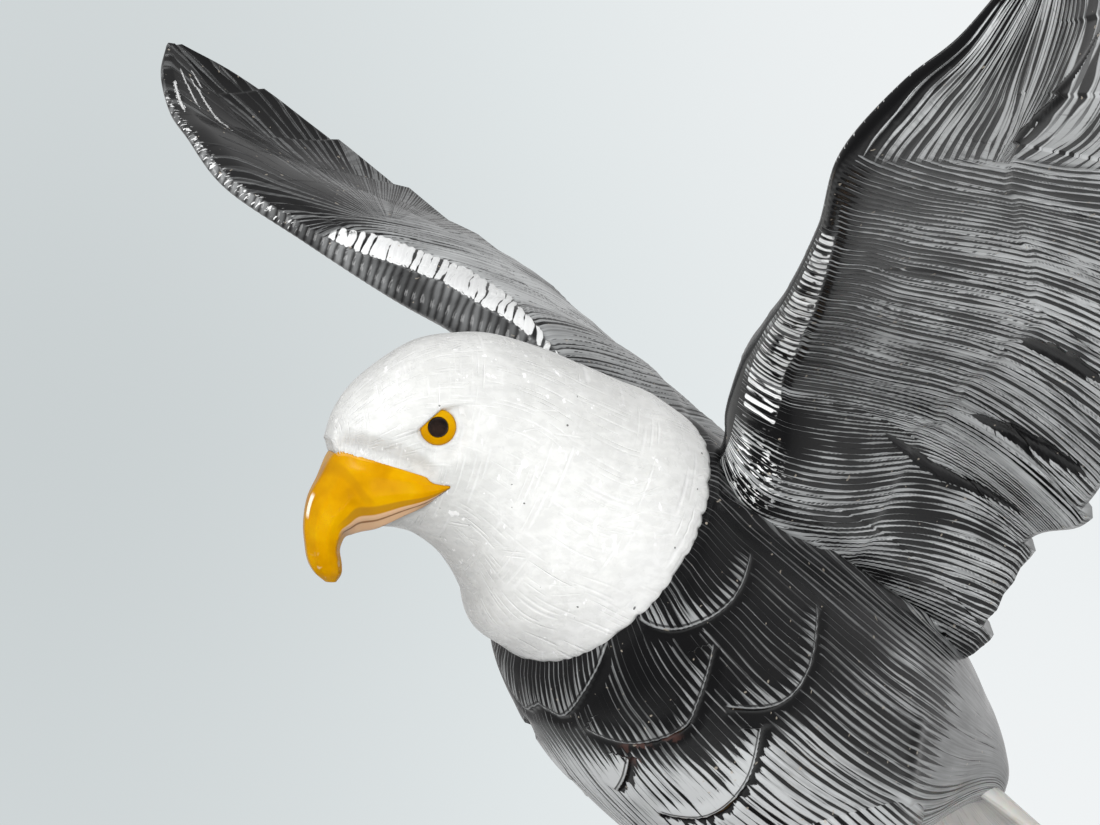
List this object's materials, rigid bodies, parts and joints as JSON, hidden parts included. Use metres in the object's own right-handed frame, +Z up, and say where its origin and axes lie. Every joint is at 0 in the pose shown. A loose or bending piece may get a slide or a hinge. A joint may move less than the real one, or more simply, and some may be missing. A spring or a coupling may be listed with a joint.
{
  "type": "eagle figurine",
  "caption": "Carved stone eagle with raised spread wings, pale head turned aside, hooked beak and fanned tail, standing by its own weight on a low oval stone base.",
  "frame": {"origin": "Middle of the base's flat underside, which is where the figurine rests.", "axes": "+Z up, the eagle faces -Y, its left wing reaches toward +X."},
  "size_m": [0.147, 0.1042, 0.1284],
  "materials": {
    "obsidian": "polished black volcanic glass with fine engraved feather strokes",
    "quartz": "frosted milky quartz with fine scratches",
    "clear_quartz": "half-clear whitish quartz, satin polish",
    "yellow_stone": "polished golden-yellow stone",
    "pupil_stone": "polished black stone",
    "base_stone": "dull dark stone"
  },
  "bodies": {
    "root": {"body": "obsidian", "wing_left": "obsidian", "wing_right": "obsidian", "head": "quartz", "beak": "yellow_stone", "eye_left": "yellow_stone", "eye_right": "yellow_stone", "pupil_left": "pupil_stone", "pupil_right": "pupil_stone", "tail": "clear_quartz", "leg_left": "yellow_stone", "leg_right": "yellow_stone", "base": "base_stone"}
  },
  "joints": []
}
